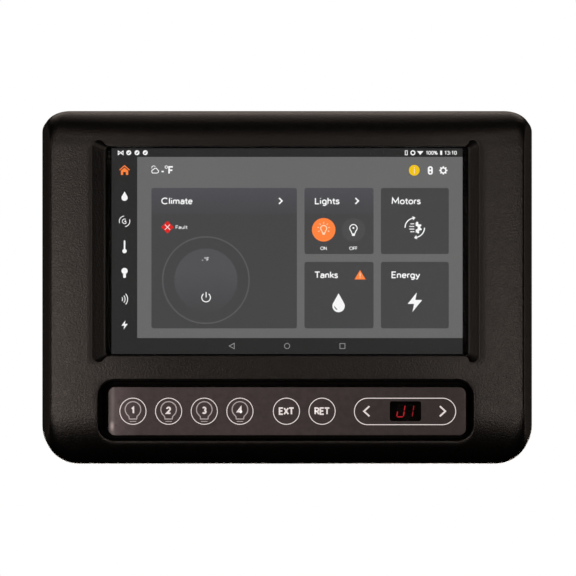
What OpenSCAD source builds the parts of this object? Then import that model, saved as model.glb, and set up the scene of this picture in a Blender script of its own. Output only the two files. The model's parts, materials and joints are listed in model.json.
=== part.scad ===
// Flush-mounted control and display panel for a caravan.
// The wall surface is the plane y = 0. The front faces -Y, the back box goes into the wall along +Y.

/* [Bezel] */
// Overall width at the wall
body_w = 217; // [214:1:224]
// Overall height at the wall
body_h = 155.6; // [154:0.2:160]
// How far the front face stands off the wall
bezel_d = 22; // [22:0.5:24]
// Thickness of the bezel's skin
skin_t = 2.5; // [2:0.1:3]
// Inset of each side edge from the wall to the front face
side_draft = 5.7; // [4:0.1:6.5]
// Radius of the two lower corners
low_corner_r = 16.8; // [14:0.2:18]
// Height over which the top edge rolls back to the wall
top_roll = 16.6; // [14:0.2:18]
// Height over which the bottom edge rolls back to the wall
bottom_roll = 25; // [22:0.5:26]

/* [Screen] */
// Width of the lit picture (7 inch, 1024 x 600)
picture_w = 153.4; // [150:0.1:154]
// Height of the lit picture
picture_h = 89.9; // [86:0.1:90]
// Height of the picture's centre above the panel's centre
screen_z = 15.9; // [15:0.1:16.5]
// Width of the window in the bezel
window_w = 159.2; // [157:0.1:160]
// Width of the sloped side wall beside the window
scoop_w = 5.1; // [4:0.1:6]

/* [Key strip] */
// Width of the key strip
strip_w = 156.4; // [156:0.1:157]
// Height of the key strip
strip_h = 21.1; // [20:0.1:22]
// Height of the strip's centre (below the panel's centre)
strip_z = -54; // [-55:0.1:-53]
// Corner radius of the strip
strip_r = 3; // [2:0.1:4]
// Radius of a round key
key_r = 6.3; // [6:0.05:6.35]
// Radius of an arrow key
arrow_r = 5.3; // [5:0.05:5.4]
// Distance between neighbouring round keys
key_pitch = 15.57; // [15.3:0.01:15.8]
// How far a key travels
key_travel = 0.4; // [0.2:0.05:0.4]
// Gap round each key
key_gap = 0.15; // [0.1:0.01:0.2]

/* [Back box] */
// Width of the back box
box_w = 178; // [176:1:180]
// Height of the back box
box_h = 118; // [116:1:119]
// Depth of the back box behind the wall surface
box_d = 28; // [28:1:34]
// Wall thickness of the back box
box_t = 2.2; // [2:0.1:3]
// Distance between the wall screws, across
screw_x = 196; // [194:1:197]
// Distance between the wall screws, up
screw_z = 128; // [126:1:130]
// Radius of a wall screw hole
screw_hole_r = 2.25; // [2:0.05:2.4]

/* [Hidden] */
$fn = 48;

half_w = body_w / 2;
half_h = body_h / 2;
top_corner = [13.3, 8.9];            // half axes of the upper corners, which are elliptical
arc_steps = 12;
top_flat = 6;                        // straight rim above the wall, at the top
bottom_flat = 4;                     // and at the bottom
eps = 0.01;

// Screen stack, front to back: every value is the y of a face.
collar_y = -18;                      // back of the bezel's collar round the window
glass_y = -17.5;
glass_t = 1.1;
lcd_y = -16.2;
lcd_t = 1.2;
diffuser_t = 0.6;
guide_t = 2.2;
reflector_t = 0.2;
tray_back_y = -11.6;
tray_t = 0.6;
glass_size = [166, 98.4];
lcd_size = [158, 95];
tray_size = [165, 99.2];
tray_screws = [[-91, -40], [91, -40], [-91, 40], [91, 40]];

// Key strip stack.
film_y = -18;                        // front of the printed film
film_t = 0.5;
plate_t = 2;                         // front plate of the key carrier
carrier_t = 1.8;
carrier_back_y = -6.5;
key_board_y = -8;                    // front of the key board
key_board_t = 1.6;
recess_w = 165;                      // opening of the recess in the bezel's face
recess_top = -39.95;
recess_bottom = -67.8;
recess_r = 5.5;
recess_floor_y = -13;
recess_wall = 1.8;
flange_t = 1;                        // flange that keeps a key behind the plate
switch_h = 3.2;
switch_w = 6.2;
plunger_r = 1.7;
stem_r = 1.5;
stem_end_y = -11.8;
plate_back_y = film_y + film_t + plate_t;
arrow_mid_x = 51.7;
arrow_gap = 16.3;
light_x = [for (i = [0:3]) -67.3 + i * key_pitch];
keys = [
    for (x = light_x) [x, key_r],
    [-0.3, key_r], [-0.3 + key_pitch, key_r],
    [arrow_mid_x - arrow_gap, arrow_r], [arrow_mid_x + arrow_gap, arrow_r],
];
window_size = [13.6, 8.6];
board_bosses = [[-75, 5.8], [75, -5.8], [-10.4, 0], [25.6, 0]];
ear_x = 91;                          // carrier ears and their posts

// Chassis and back box.
flange_front_y = -3;
lip_inset = 3.5;
flange_inset = 4.6;
main_board_y = 12;
main_board_t = 1.6;
main_board_size = [154, 102];
board_screw_at = [72, 47];
cover_screw_at = [82, 52];
cover_t = 2.2;
harness_at = [-38, -30];
harness_size = [28, 14];
power_at = [8, -30];
power_size = [14.6, 14];
socket_top_y = 29.6;
socket_wall = 1.2;
pin_pitch = 4.2;
ribbon_x = -45;
ribbon_w = 12;
flex_x = 30;
flex_w = 26;
flex_z = -17;

// ---- helpers ----

function ellipse_arc(c, r, a0, a1, n = arc_steps) =
    [for (i = [0:n]) let (a = a0 + (a1 - a0) * i / n) [c[0] + r[0] * cos(a), c[1] + r[1] * sin(a)]];

// A 2D shape in x and z, extruded from y0 to y1.
module slab(y0, y1) translate([0, y1, 0]) rotate([90, 0, 0]) linear_extrude(y1 - y0) children();

// A cylinder along y.
module rod(r, y0, y1, at = [0, 0]) translate([at[0], y1, at[1]]) rotate([90, 0, 0]) cylinder(r = r, h = y1 - y0);

// A cone along y, r0 at y0 and r1 at y1.
module cone(r0, r1, y0, y1, at = [0, 0])
    translate([at[0], y1, at[1]]) rotate([90, 0, 0]) cylinder(r1 = r1, r2 = r0, h = y1 - y0);

module rounded(size, r) {
    square([size[0] - 2 * r, size[1]], center = true);
    square([size[0], size[1] - 2 * r], center = true);
    for (x = [-1, 1], z = [-1, 1])
        translate([x * (size[0] / 2 - r), z * (size[1] / 2 - r)]) circle(r);
}

module at_corners(p) for (x = [-1, 1], z = [-1, 1]) translate([x * p[0], 0, z * p[1]]) children();

// The bezel's outline at the wall, moved in by inset.
module outline(inset = 0) {
    w = half_w - inset;
    h = half_h - inset;
    top = [top_corner[0] - inset, top_corner[1] - inset];
    low = low_corner_r - inset;
    polygon(concat(
        ellipse_arc([w - top[0], h - top[1]], top, 0, 90),
        ellipse_arc([top[0] - w, h - top[1]], top, 90, 180),
        ellipse_arc([low - w, low - h], [low, low], 180, 270),
        ellipse_arc([w - low, low - h], [low, low], 270, 360)
    ));
}

// The bezel's solid shape: a rolled section along x, cut by the outline and by the drafted sides.
module rolled_block(inset = 0) {
    d = bezel_d - inset;
    h = half_h - inset;
    top_z = half_h - top_roll;
    low_z = bottom_roll - half_h;
    open = inset > 0 ? 1 : 0;
    side = half_w - inset;
    intersection() {
        rotate([90, 0, 90]) translate([0, 0, -half_w]) linear_extrude(body_w) polygon(concat(
            [[open, low_z], [open, -h]],
            ellipse_arc([-bottom_flat, low_z], [d - bottom_flat, h + low_z], 270, 180),
            ellipse_arc([-top_flat, top_z], [d - top_flat, h - top_z], 180, 90),
            [[open, h]]
        ));
        slab(-bezel_d, open) outline(inset);
        translate([0, 0, -half_h]) linear_extrude(body_h) polygon([
            [-side, open], [side, open], [side, 0],
            [side - side_draft * d / bezel_d, -d], [side_draft * d / bezel_d - side, -d], [-side, 0],
        ]);
    }
}

// ---- bezel ----

// The window through the face, with the sloped walls at its left and right.
module window_cut() {
    slab(-bezel_d - 1, collar_y + 1)
        translate([0, screen_z]) rounded([window_w, picture_h + 1], 1.6);
    half = window_w / 2;
    end_y = collar_y - 0.5;
    out = scoop_w * (bezel_d + end_y + 1) / (bezel_d + end_y);
    for (s = [-1, 1])
        translate([0, 0, screen_z - picture_h / 2 - 2.9]) linear_extrude(picture_h + 5.8) polygon([
            [s * (half - 0.3), -bezel_d - 1], [s * (half + out), -bezel_d - 1], [s * half, end_y], [s * (half - 0.3), end_y],
        ]);
}

module recess_shape(grow = 0)
    translate([0, (recess_top + recess_bottom) / 2])
        rounded([recess_w + 2 * grow, recess_top - recess_bottom + 2 * grow], recess_r + grow);

module snap_beads() {
    bead = [12, 1.2, 1.4];
    for (x = [-60, 0, 60], s = [-1, 1])
        translate([x - bead[0] / 2, -1.9, s * (half_h - skin_t - bead[2] / 2) - bead[2] / 2]) cube(bead);
}

module front_bezel() color("#2b2725") {
    difference() {
        union() {
            difference() {
                rolled_block();
                rolled_block(skin_t);
            }
            intersection() {
                rolled_block();
                union() {
                    slab(-bezel_d, collar_y)
                        translate([0, screen_z]) rounded([window_w + 2 * scoop_w + 5, picture_h + 9], 4);
                    slab(-bezel_d, recess_floor_y + 1.5) recess_shape(recess_wall);
                }
            }
        }
        window_cut();
        slab(-bezel_d - 1, recess_floor_y) recess_shape();
        slab(recess_floor_y - 1, recess_floor_y + 2)
            translate([0, strip_z]) rounded([strip_w + 1, strip_h + 1], strip_r + 0.5);
    }
    snap_beads();
}

// ---- screen ----

module screen_plate(size, r, y0, t) slab(y0, y0 + t) translate([0, screen_z]) rounded(size, r);

module screen_ring(outer, inner, y0, t)
    slab(y0, y0 + t) translate([0, screen_z]) difference() {
        rounded(outer, 2);
        rounded(inner, 1);
    }

module screen_gasket() color("#1b1b1b")
    screen_ring([glass_size[0] - 1, glass_size[1] - 1], [window_w + 1.2, picture_h + 2], collar_y, glass_y - collar_y);

module cover_glass() color("#101214") screen_plate(glass_size, 3, glass_y, glass_t);

module display_tape() color("#222222")
    screen_ring([glass_size[0] - 1, glass_size[1] - 1], [159.2, 96.2], glass_y + glass_t, 0.2);

module lcd_panel() color("#5a5a5a") screen_plate(lcd_size, 0.5, lcd_y, lcd_t);

module diffuser_sheets() color("#e8e8e4") screen_plate([158, 95], 0.5, lcd_y + lcd_t, diffuser_t);

module light_guide() color("#dfe8ea")
    slab(lcd_y + lcd_t + diffuser_t, lcd_y + lcd_t + diffuser_t + guide_t)
        translate([0, screen_z + 1.5]) square([158, 92], center = true);

module reflector_sheet() color("#f2f2f2")
    screen_plate([158, 95], 0.5, lcd_y + lcd_t + diffuser_t + guide_t, reflector_t);

module backlight_led_bar() color("#f0e8b0") {
    y0 = lcd_y + lcd_t + diffuser_t;
    z0 = screen_z - lcd_size[1] / 2;
    translate([-78, y0, z0]) cube([156, guide_t, 0.8]);
    for (i = [0:17]) translate([-75 + i * 8.6, y0 + 0.3, z0 + 0.8]) cube([3.8, 1.4, 1]);
}

module display_tray() color("#b8babc") difference() {
    union() {
        difference() {
            screen_plate(tray_size, 2, glass_y + glass_t + 0.2, tray_back_y + tray_t - glass_y - glass_t - 0.2);
            screen_plate([159.2, 96.2], 1, glass_y, tray_back_y - glass_y);
        }
        for (p = tray_screws)
            slab(tray_back_y, tray_back_y + tray_t)
                translate([p[0] * 0.96, screen_z + p[1]]) square([15, 10], center = true);
    }
    for (p = tray_screws) rod(1.7, tray_back_y - 1, tray_back_y + 1, [p[0], screen_z + p[1]]);
}

// A pan-head screw whose head rests on the face at y; front is true where the head faces -Y.
module pan_screw(r, length, head_r, head_h, y, at, front = true) {
    s = front ? 1 : -1;
    difference() {
        union() {
            rod(head_r, min(y, y - s * head_h), max(y, y - s * head_h), at);
            rod(r, min(y, y + s * length), max(y, y + s * length), at);
        }
        for (a = [0, 90]) translate([at[0], y - s * head_h, at[1]]) rotate([0, a, 0])
            cube([head_r * 1.2, head_h, 0.6], center = true);
    }
}

module display_screws() color("#9a9c9e")
    for (p = tray_screws) pan_screw(1.05, 6.5, 2.8, 1.8, tray_back_y, [p[0], screen_z + p[1]]);

// The display's flat cable: down the tray's back, round a bend, then to its socket on the main board.
module display_flex() color("#b5651d")
    translate([flex_x - flex_w / 2, 0, 0]) rotate([90, 0, 90]) linear_extrude(flex_w) {
        y = tray_back_y + tray_t;
        translate([y, flex_z + 3.3]) square([0.3, 12]);
        translate([y + 3.3, flex_z + 3.3]) intersection() {
            difference() {
                circle(3.3);
                circle(3);
            }
            translate([-4, -4]) square(4);
        }
        translate([y + 3.3, flex_z]) square([main_board_y - 1 - y - 3.3, 0.3]);
    }

// ---- chassis and back box ----

module box_corner_posts() {
    at_corners(cover_screw_at) rod(4, flange_front_y, box_d);
    at_corners(board_screw_at) rod(3.5, flange_front_y, main_board_y);
}

module wall_screw_holes() at_corners([screw_x / 2, screw_z / 2]) {
    rod(screw_hole_r, flange_front_y - 1, 1);
    cone(4.25 + 0.5, screw_hole_r, flange_front_y - 0.5, -1.2);
}

module side_vents()
    for (s = [-1, 1], i = [-4:4])
        translate([i * 15 - 1.5, 8, s * box_h / 2 - 5]) cube([3, 14, 10]);

module chassis() color("#26272a") difference() {
    union() {
        slab(flange_front_y, -2) outline(lip_inset);
        slab(-2, 0) outline(flange_inset);
        slab(-1, box_d) difference() {
            rounded([box_w, box_h], 6);
            rounded([box_w - 2 * box_t, box_h - 2 * box_t], 4);
        }
        intersection() {
            box_corner_posts();
            slab(flange_front_y, box_d) rounded([box_w, box_h], 6);
        }
        for (p = tray_screws) rod(3.4, tray_back_y + tray_t, flange_front_y + 1, [p[0], screen_z + p[1]]);
        for (s = [-1, 1]) rod(3.4, carrier_back_y, flange_front_y + 1, [s * ear_x, strip_z]);
    }
    slab(flange_front_y - 1, 1) rounded([132, 82], 4);
    slab(flange_front_y - 1, 1) translate([ribbon_x, -48.5]) rounded([22, 9], 2);
    for (p = tray_screws) rod(1.1, tray_back_y, -1, [p[0], screen_z + p[1]]);
    for (s = [-1, 1]) rod(1.1, carrier_back_y - 1, -1, [s * ear_x, strip_z]);
    at_corners(cover_screw_at) rod(1.25, 8, box_d + 1);
    at_corners(board_screw_at) rod(1.1, 2, main_board_y + 1);
    wall_screw_holes();
    side_vents();
}

module back_cover() color("#232427") difference() {
    union() {
        slab(box_d, box_d + cover_t) rounded([box_w, box_h], 6);
        slab(box_d - 1.5, box_d + eps) difference() {
            rounded([box_w - 2 * box_t - 0.6, box_h - 2 * box_t - 0.6], 3.7);
            rounded([box_w - 2 * box_t - 3.6, box_h - 2 * box_t - 3.6], 2.2);
        }
    }
    for (i = [-6:6]) slab(box_d - 1, box_d + cover_t + 1) translate([i * 10, 25]) rounded([3.2, 30], 1.5);
    slab(box_d - 1, box_d + cover_t + 1) translate(harness_at) rounded([harness_size[0] + 1, harness_size[1] + 1], 1);
    slab(box_d - 1, box_d + cover_t + 1) translate(power_at) rounded([power_size[0] + 1, power_size[1] + 1], 1);
    at_corners(cover_screw_at) {
        rod(1.6, box_d - 1, box_d + cover_t + 1);
        rod(5, box_d - 2, box_d);
    }
}

module back_cover_screws() color("#9a9c9e")
    for (x = [-1, 1], z = [-1, 1])
        pan_screw(1.15, 14, 3.1, 2, box_d + cover_t, [x * cover_screw_at[0], z * cover_screw_at[1]], false);

// ---- main board ----

module main_board() color("#1d5a34") slab(main_board_y, main_board_y + main_board_t) difference() {
    rounded(main_board_size, 2);
    for (x = [-1, 1], z = [-1, 1]) translate([x * board_screw_at[0], z * board_screw_at[1]]) circle(1.6);
}

module board_screws() color("#9a9c9e")
    for (x = [-1, 1], z = [-1, 1])
        pan_screw(1.05, 8, 2.6, 1.6, main_board_y + main_board_t,
                  [x * board_screw_at[0], z * board_screw_at[1]], false);

board_back = main_board_y + main_board_t;

module processor_shield() color("#c4c6c8") difference() {
    slab(board_back, board_back + 3) translate([-42, 20]) rounded([42, 42], 1);
    slab(board_back - 1, board_back + 2.7) translate([-42, 20]) square([41.4, 41.4], center = true);
}

module heat_sink() color("#c9ccd0") {
    slab(board_back + 3, board_back + 4.5) translate([-42, 20]) square([38, 38], center = true);
    for (i = [-5:5]) translate([-42 + i * 3.6 - 0.5, board_back + 4.5, 1]) cube([1, 7, 38]);
}

module wifi_module() color("#b9bcbf") {
    slab(board_back, board_back + 1) translate([50, 33]) square([18, 27], center = true);
    slab(board_back + 1, board_back + 3) translate([50, 30]) square([15.6, 19], center = true);
}

module board_chips() color("#202022") {
    for (p = [[2, 36], [2, 20], [22, 36], [22, 20], [60, -15]])
        slab(board_back, board_back + 1.4) translate(p) square([13, 10], center = true);
    for (p = [[-10, -2], [30, -2]])
        slab(board_back, board_back + 1.2) translate(p) square([7, 7], center = true);
}

module capacitors() color("#3b3f52")
    for (p = [[30, -26], [41, -26], [52, -26], [30, -38], [41, -38]]) {
        rod(4, board_back, board_back + 9.5, p);
        rod(3.6, board_back + 9.5, board_back + 10, p);
    }

module inductors() color("#3a3a3a")
    for (p = [[-2, -12], [12, -12]])
        slab(board_back, board_back + 4) translate(p) rounded([10, 10], 2);

module coin_cell_holder() color("#e7e3d6") slab(board_back, board_back + 4.4) difference() {
    translate([60, 8]) rounded([24, 22], 3);
    translate([60, 8]) circle(10.2);
}

module coin_cell() color("#cfd1d3") {
    rod(10, board_back, board_back + 2.6, [60, 8]);
    rod(8.8, board_back + 2.6, board_back + 3.2, [60, 8]);
}

module buzzer() color("#18181a") difference() {
    rod(6, board_back, board_back + 8.5, [-65, -22]);
    rod(1, board_back + 6, board_back + 9, [-65, -22]);
}

// A wire socket whose mouth opens along +Y.
module wire_socket(at, size) {
    difference() {
        union() {
            slab(board_back, socket_top_y) translate(at) rounded(size, 1);
            slab(board_back + 4, socket_top_y - 3) translate([at[0], at[1] + size[1] / 2]) square([5, 2.4], center = true);
        }
        slab(board_back + 3, socket_top_y + 1)
            translate(at) rounded([size[0] - 2 * socket_wall, size[1] - 2 * socket_wall], 0.6);
    }
}

module power_socket() color("#ececE6") wire_socket(power_at, power_size);

module harness_socket() color("#ececE6") wire_socket(harness_at, harness_size);

// Square pins that stand in the sockets and end below the mouths.
module pins(at, columns)
    for (i = [0:columns - 1], j = [-1, 1])
        translate([at[0] + (i - (columns - 1) / 2) * pin_pitch - 0.5, board_back + 3, at[1] + j * pin_pitch / 2 - 0.5])
            cube([1, 7, 1]);

module socket_pins() color("#d9b45a") {
    pins(harness_at, 6);
    pins(power_at, 2);
}

module ribbon_sockets() color("#e9e6dc") {
    slab(key_board_y + key_board_t, -3.4) translate([ribbon_x, -50]) square([16, 4], center = true);
    slab(main_board_y - 3, main_board_y) translate([ribbon_x, -46]) square([16, 4], center = true);
    slab(main_board_y - 1, main_board_y) translate([flex_x, flex_z + 0.15]) square([flex_w + 4, 5], center = true);
}

// The key board's flat cable: an easy S from its socket to the one on the main board.
module key_ribbon() color("#d8d4c4") {
    y0 = -3.4;
    y1 = main_board_y - 3;
    path = [for (i = [0:12]) let (t = i / 12) [y0 + (y1 - y0) * t, -50 + 4 * (1 - cos(180 * t)) / 2]];
    translate([ribbon_x - ribbon_w / 2, 0, 0]) rotate([90, 0, 90]) linear_extrude(ribbon_w) polygon(concat(
        [for (p = path) [p[0], p[1] - 0.15]],
        [for (i = [12:-1:0]) [path[i][0], path[i][1] + 0.15]]
    ));
}

// ---- key strip ----

module strip_shape(shrink = 0, r = strip_r)
    translate([0, strip_z]) rounded([strip_w - 2 * shrink, strip_h - 2 * shrink], r);

module window_shape(grow = 0)
    translate([arrow_mid_x, strip_z]) rounded([window_size[0] + 2 * grow, window_size[1] + 2 * grow], 1);

module key_holes() for (k = keys) translate([k[0], strip_z]) circle(k[1] + key_gap);

module key_carrier() color("#222021") difference() {
    union() {
        slab(film_y + film_t, plate_back_y) strip_shape();
        slab(film_y + film_t, carrier_back_y) difference() {
            strip_shape();
            strip_shape(carrier_t, 1.5);
        }
        for (b = board_bosses) rod(2, plate_back_y - 1, key_board_y, [b[0], strip_z + b[1]]);
        for (s = [-1, 1])
            slab(carrier_back_y - 2.5, carrier_back_y)
                translate([s * 87, strip_z]) rounded([18.4, 14], 2);
    }
    slab(film_y, plate_back_y + 1) key_holes();
    slab(film_y, plate_back_y + 1) window_shape(0.2);
    for (b = board_bosses) rod(0.85, plate_back_y + 1, key_board_y + 1, [b[0], strip_z + b[1]]);
    for (s = [-1, 1]) rod(1.7, carrier_back_y - 4, carrier_back_y + 1, [s * ear_x, strip_z]);
}

module carrier_screws() color("#9a9c9e")
    for (s = [-1, 1]) pan_screw(1.05, 5, 2.8, 1.8, carrier_back_y - 2.5, [s * ear_x, strip_z]);

module key_board() color("#1d5a34") slab(key_board_y, key_board_y + key_board_t) difference() {
    translate([0, strip_z]) rounded([151.6, 16.4], 1);
    for (b = board_bosses) translate([b[0], strip_z + b[1]]) circle(1.2);
}

module key_board_screws() color("#9a9c9e")
    for (b = board_bosses)
        pan_screw(0.8, 6, 1.9, 1.2, key_board_y + key_board_t, [b[0], strip_z + b[1]], false);

module key_overlay() color("#463d3c") slab(film_y, film_y + film_t) difference() {
    strip_shape();
    key_holes();
    window_shape(0.05);
}

module digit_window() color("#1a0606") slab(film_y, film_y + film_t) window_shape();

module digit_module() color("#151515")
    slab(film_y + film_t + 0.3, key_board_y) translate([arrow_mid_x, strip_z]) square([12.8, 8], center = true);

// Two seven-segment digits, leaning by slant, as thin bars on the module's face.
module digit_segments() color("#a01812") {
    cell = [2.8, 2.5];               // half a digit: width and height
    bar = 0.5;
    slant = 0.12;
    slab(film_y + film_t + 0.1, film_y + film_t + 0.3)
        for (d = [-1, 1]) translate([arrow_mid_x + d * 2.8, strip_z])
            multmatrix([[1, slant, 0, 0], [0, 1, 0, 0], [0, 0, 1, 0], [0, 0, 0, 1]]) {
                for (j = [-1:1]) translate([0, j * cell[1]]) square([cell[0] - bar - 0.3, bar], center = true);
                for (x = [-1, 1], j = [-1, 1])
                    translate([x * cell[0] / 2, j * cell[1] / 2]) square([bar, cell[1] - bar - 0.3], center = true);
            }
}

module switch_bodies() color("#2a2a2c") for (k = keys) difference() {
    translate([k[0] - switch_w / 2, key_board_y - switch_h, strip_z - switch_w / 2]) cube([switch_w, switch_h, switch_w]);
    rod(plunger_r + 0.1, key_board_y - switch_h - 1, key_board_y - 1.6, [k[0], strip_z]);
}

module switch_domes() color("#c8cacc")
    for (k = keys) rod(plunger_r, key_board_y - 1.75, key_board_y - 1.6, [k[0], strip_z]);

// A key: the printed face, a flange that keeps it behind the plate and a stem that pushes its switch.
module key(i) {
    at = [keys[i][0], strip_z];
    r = keys[i][1];
    back = plate_back_y + 0.1;
    rod(r, film_y, back, at);
    rod(r + 1, back, back + flange_t, at);
    rod(stem_r, back + flange_t, stem_end_y, at);
}

module plunger(i) rod(plunger_r, stem_end_y, key_board_y - 1.85 - key_travel, [keys[i][0], strip_z]);

key_colour = "#463d3c";
plunger_colour = "#dddddd";

front_bezel();
screen_gasket();
cover_glass();
display_tape();
lcd_panel();
diffuser_sheets();
light_guide();
reflector_sheet();
backlight_led_bar();
display_tray();
display_screws();
display_flex();
chassis();
back_cover();
back_cover_screws();
main_board();
board_screws();
processor_shield();
heat_sink();
board_chips();
wifi_module();
capacitors();
inductors();
coin_cell();
coin_cell_holder();
buzzer();
power_socket();
harness_socket();
socket_pins();
ribbon_sockets();
key_ribbon();
key_carrier();
carrier_screws();
key_board();
key_board_screws();
key_overlay();
digit_window();
digit_module();
digit_segments();
switch_bodies();
switch_domes();
color(key_colour) key(0);  // light_key_1
color(key_colour) key(1);  // light_key_2
color(key_colour) key(2);  // light_key_3
color(key_colour) key(3);  // light_key_4
color(key_colour) key(4);  // extend_key
color(key_colour) key(5);  // retract_key
color(key_colour) key(6);  // previous_key
color(key_colour) key(7);  // next_key
color(plunger_colour) plunger(0);  // light_plunger_1
color(plunger_colour) plunger(1);  // light_plunger_2
color(plunger_colour) plunger(2);  // light_plunger_3
color(plunger_colour) plunger(3);  // light_plunger_4
color(plunger_colour) plunger(4);  // extend_plunger
color(plunger_colour) plunger(5);  // retract_plunger
color(plunger_colour) plunger(6);  // previous_plunger
color(plunger_colour) plunger(7);  // next_plunger
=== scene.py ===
"""Looks of the flush-mounted caravan control panel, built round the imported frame. Helper lengths are in millimetres."""

import json
import math

import bmesh
import bpy
import numpy as np
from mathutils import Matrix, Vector
from mathutils.geometry import delaunay_2d_cdt


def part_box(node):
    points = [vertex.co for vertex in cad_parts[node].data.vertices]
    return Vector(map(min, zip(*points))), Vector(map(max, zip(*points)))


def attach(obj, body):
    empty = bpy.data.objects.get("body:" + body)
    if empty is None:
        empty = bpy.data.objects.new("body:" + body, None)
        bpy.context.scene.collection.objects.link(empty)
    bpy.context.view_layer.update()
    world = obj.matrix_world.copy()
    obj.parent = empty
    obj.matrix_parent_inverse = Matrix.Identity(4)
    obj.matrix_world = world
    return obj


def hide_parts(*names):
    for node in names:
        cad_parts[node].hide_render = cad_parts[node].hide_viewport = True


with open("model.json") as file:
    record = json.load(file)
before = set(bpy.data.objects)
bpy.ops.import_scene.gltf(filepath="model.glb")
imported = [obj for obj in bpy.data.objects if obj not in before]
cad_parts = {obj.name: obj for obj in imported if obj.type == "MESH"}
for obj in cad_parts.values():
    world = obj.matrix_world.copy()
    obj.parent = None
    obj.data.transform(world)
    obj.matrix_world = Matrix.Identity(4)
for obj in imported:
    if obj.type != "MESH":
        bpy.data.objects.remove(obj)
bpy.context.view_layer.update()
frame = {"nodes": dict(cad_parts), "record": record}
NODES = frame["nodes"]
MM = 0.001
SCENE = bpy.context.scene


# ---- places read from the frame

def box_mm(node):
    """Lowest and highest corner of a CAD node, in millimetres."""
    low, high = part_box(node)
    return [v / MM for v in low], [v / MM for v in high]


BEZEL_LOW, BEZEL_HIGH = box_mm("front_bezel")
HALF_W = BEZEL_HIGH[0]
HALF_H = BEZEL_HIGH[2]
DEPTH = -BEZEL_LOW[1]
LCD_LOW, LCD_HIGH = box_mm("lcd_panel")
GLASS_HIGH = box_mm("cover_glass")[1]
STRIP_LOW, STRIP_HIGH = box_mm("key_overlay")
WINDOW_LOW, WINDOW_HIGH = box_mm("digit_window")
FILM_Y = STRIP_LOW[1]
STRIP_Z = (STRIP_LOW[2] + STRIP_HIGH[2]) / 2
SCREEN_Z = (LCD_LOW[2] + LCD_HIGH[2]) / 2
KEYS = ["light_key_1", "light_key_2", "light_key_3", "light_key_4",
        "extend_key", "retract_key", "previous_key", "next_key"]
KEY_BOX = {name: box_mm(name) for name in KEYS}
KEY_X = {name: (low[0] + high[0]) / 2 for name, (low, high) in KEY_BOX.items()}


# ---- materials

NOISE_LOW, NOISE_HIGH = 0.3, 0.7        # nearly all of a noise texture's values lie between these
GLASS_GLARE, GLASS_GAIN = 0.0034, 1.1   # what the cover glass adds to the screen's light and takes from it
FILM_PAINTED_HIGHLIGHT_END = 0.02                    # share of the film's length, from its left end, that carries the paler, more neutral painted highlight
# The film's tone from its left end to its right: its own warm grey with painted light, a painted highlight near the
# left end and darker painted shade towards the right end.
FILM_TONES_AND_PAINTED_LIGHT = ((0.0, 0.05), (0.004, 0.105), (0.008, 0.20), (0.0125, 0.288), (0.0152, 0.274), (0.0185, 0.18),
              (0.026, 0.165), (0.045, 0.150), (0.09, 0.100), (0.35, 0.098), (0.5, 0.093), (0.78, 0.074), (1.0, 0.056))
# Painted glint: a brighter oval low on the film's left end that stands in for a highlight.
GLINT_CENTRE, GLINT_SIZE, GLINT_GAIN = (-76.6, -60.4), (1.5, 3.0), 3.2


def srgb(*colour):
    """Linear colour of an sRGB value given in 0-255."""
    return tuple(c / 12.92 if c <= 0.04045 else ((c + 0.055) / 1.055) ** 2.4 for c in (v / 255 for v in colour))


def wire(mat, node, inputs):
    """Set a node's inputs. One given as another node's output is linked, and colours are given without alpha."""
    for name, value in inputs.items():
        socket = node.inputs[name]
        if isinstance(value, bpy.types.NodeSocket):
            mat.node_tree.links.new(value, socket)
        else:
            socket.default_value = (*value, 1) if socket.type == "RGBA" else value


def add(mat, kind, inputs, **settings):
    """A new shader node of that kind, with its inputs."""
    node = mat.node_tree.nodes.new("ShaderNode" + kind)
    for name, value in settings.items():
        setattr(node, name, value)
    wire(mat, node, inputs)
    return node


def finish_shader(mat, inputs):
    wire(mat, mat.node_tree.nodes["Principled BSDF"], inputs)
    return mat


def noise(mat, vector, scale, octaves=2, rough=0.5):
    inputs = {"Vector": vector, "Scale": scale, "Detail": octaves, "Roughness": rough}
    return add(mat, "TexNoise", inputs).outputs["Fac"]


def spread(mat, value, low, high, start=NOISE_LOW, end=NOISE_HIGH, **settings):
    """The value's range from start to end, spread from low to high."""
    return add(mat, "MapRange", {"Value": value, "From Min": start, "From Max": end, "To Min": low, "To Max": high},
               **settings).outputs["Result"]


def mixed(mat, factor, a, b, **settings):
    return add(mat, "Mix", {"Factor": factor, "A": a, "B": b}, data_type="RGBA", **settings).outputs["Result"]


def place(mat):
    """Where a point is, in the object's own coordinates."""
    return mat.node_tree.nodes["Texture Coordinate"].outputs["Object"]


def surface(name, colour, rough, grain=800, bump=0.1, depth=0.1, vary=0.15, vary_scale=40, rough_vary=0.08,
            metal=0.0, stretch=(1, 1, 1), detail=3, specular=0.5, coat=0.0):
    """A principled material with noise in its colour, roughness and relief. Scales are per metre, depth in mm."""
    mat = bpy.data.materials.new(name)
    mat.use_nodes = True
    add(mat, "TexCoord", {})
    vector = add(mat, "Mapping", {"Vector": place(mat), "Scale": stretch}).outputs["Vector"]
    patches = spread(mat, noise(mat, vector, vary_scale, 4, 0.6), 0, 1)
    dull = noise(mat, vector, grain * 0.35, 2, 0.6)
    height = noise(mat, vector, grain, detail, 0.6)
    relief = add(mat, "Bump", {"Strength": bump, "Distance": depth * MM, "Height": height}).outputs["Normal"]
    return finish_shader(mat, {
        "Base Color": mixed(mat, patches, [c * (1 - vary) for c in colour], [min(1, c * (1 + vary)) for c in colour]),
        "Roughness": spread(mat, dull, max(0.02, rough - rough_vary), min(1, rough + rough_vary)),
        "Metallic": metal, "Specular IOR Level": specular, "Coat Weight": coat, "Coat Roughness": 0.12,
        "Normal": relief})


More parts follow.
